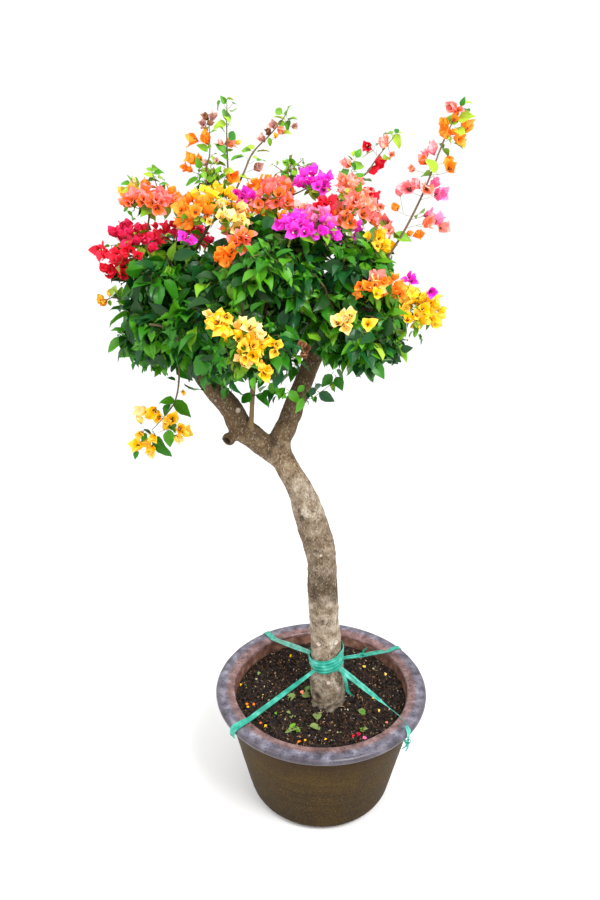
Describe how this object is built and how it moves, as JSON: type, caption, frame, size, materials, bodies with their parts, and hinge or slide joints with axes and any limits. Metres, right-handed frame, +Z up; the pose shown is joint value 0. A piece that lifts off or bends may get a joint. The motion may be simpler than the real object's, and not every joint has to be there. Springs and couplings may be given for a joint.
{
  "type": "potted standard bougainvillea",
  "caption": "Bougainvillea grown as a small standard tree in a round glazed pot, with a forked trunk, a mixed-colour flowering crown and ribbon ties.",
  "frame": {"origin": "centre of the pot's flat underside", "axes": "+Z up along the pot's axis, -Y towards the front, +X to the right seen from the front"},
  "size_m": [0.7909, 0.6492, 1.7381],
  "materials": {
    "pot_glaze": "satin brown stoneware glaze, thin and worn to a bluish mauve grey on the lip",
    "soil": "dark crumbly potting mix with bark crumbs",
    "bark": "matt grey-brown bark, lightly furrowed, with pale scars",
    "twig": "young stems, green turning brown",
    "leaf": "satin green leaf, lighter on new growth",
    "red_bract": "papery crimson bract",
    "orange_bract": "papery orange bract",
    "salmon_bract": "papery salmon bract",
    "yellow_bract": "papery golden yellow bract",
    "magenta_bract": "papery magenta bract",
    "ribbon": "thin glossy turquoise plastic ribbon"
  },
  "bodies": {
    "root": {"bloom_magenta_back": "magenta_bract", "bloom_magenta_front": "magenta_bract", "bloom_magenta_high": "magenta_bract", "bloom_orange_back": "orange_bract", "bloom_orange_right": "orange_bract", "bloom_orange_side": "orange_bract", "bloom_orange_top": "orange_bract", "bloom_red_back": "red_bract", "bloom_red_left": "red_bract", "bloom_salmon_left": "salmon_bract", "bloom_yellow_back": "yellow_bract", "bloom_yellow_front": "yellow_bract", "bloom_yellow_right": "yellow_bract", "bloom_yellow_side": "yellow_bract", "bloom_yellow_top": "yellow_bract", "foliage_back_left": "leaf", "foliage_back_right": "leaf", "foliage_centre": "leaf", "foliage_front": "leaf", "foliage_left": "leaf", "foliage_left_high": "leaf", "foliage_right": "leaf", "foliage_right_high": "leaf", "leaves_top_left": "leaf", "leaves_top_middle": "leaf", "limb_left": "bark", "limb_right": "bark", "limb_stub": "bark", "pot": "pot_glaze", "shoot_far_left": "twig", "shoot_hanging": "twig", "shoot_left_short": "twig", "shoot_left_tall": "twig", "shoot_middle": "twig", "shoot_right": "twig", "shoot_side_left": "twig", "shoot_tall_right": "twig", "soil": "soil", "sprig_far_left_1": "leaf", "sprig_hanging_1": "yellow_bract", "sprig_left_short_1": "orange_bract", "sprig_left_short_2": "orange_bract", "sprig_left_tall_1": "leaf", "sprig_middle_1": "leaf", "sprig_middle_2": "leaf", "sprig_right_1": "red_bract", "sprig_right_2": "red_bract", "sprig_side_left_1": "yellow_bract", "sprig_tall_right_1": "salmon_bract", "sprig_tall_right_2": "salmon_bract", "sprig_tall_right_3": "salmon_bract", "sprig_tall_right_4": "salmon_bract", "stem_upright": "twig", "tie_back_left": "ribbon", "tie_back_right": "ribbon", "tie_front_left": "ribbon", "tie_front_right": "ribbon", "tie_wrap": "ribbon", "trunk": "bark"}
  },
  "joints": []
}
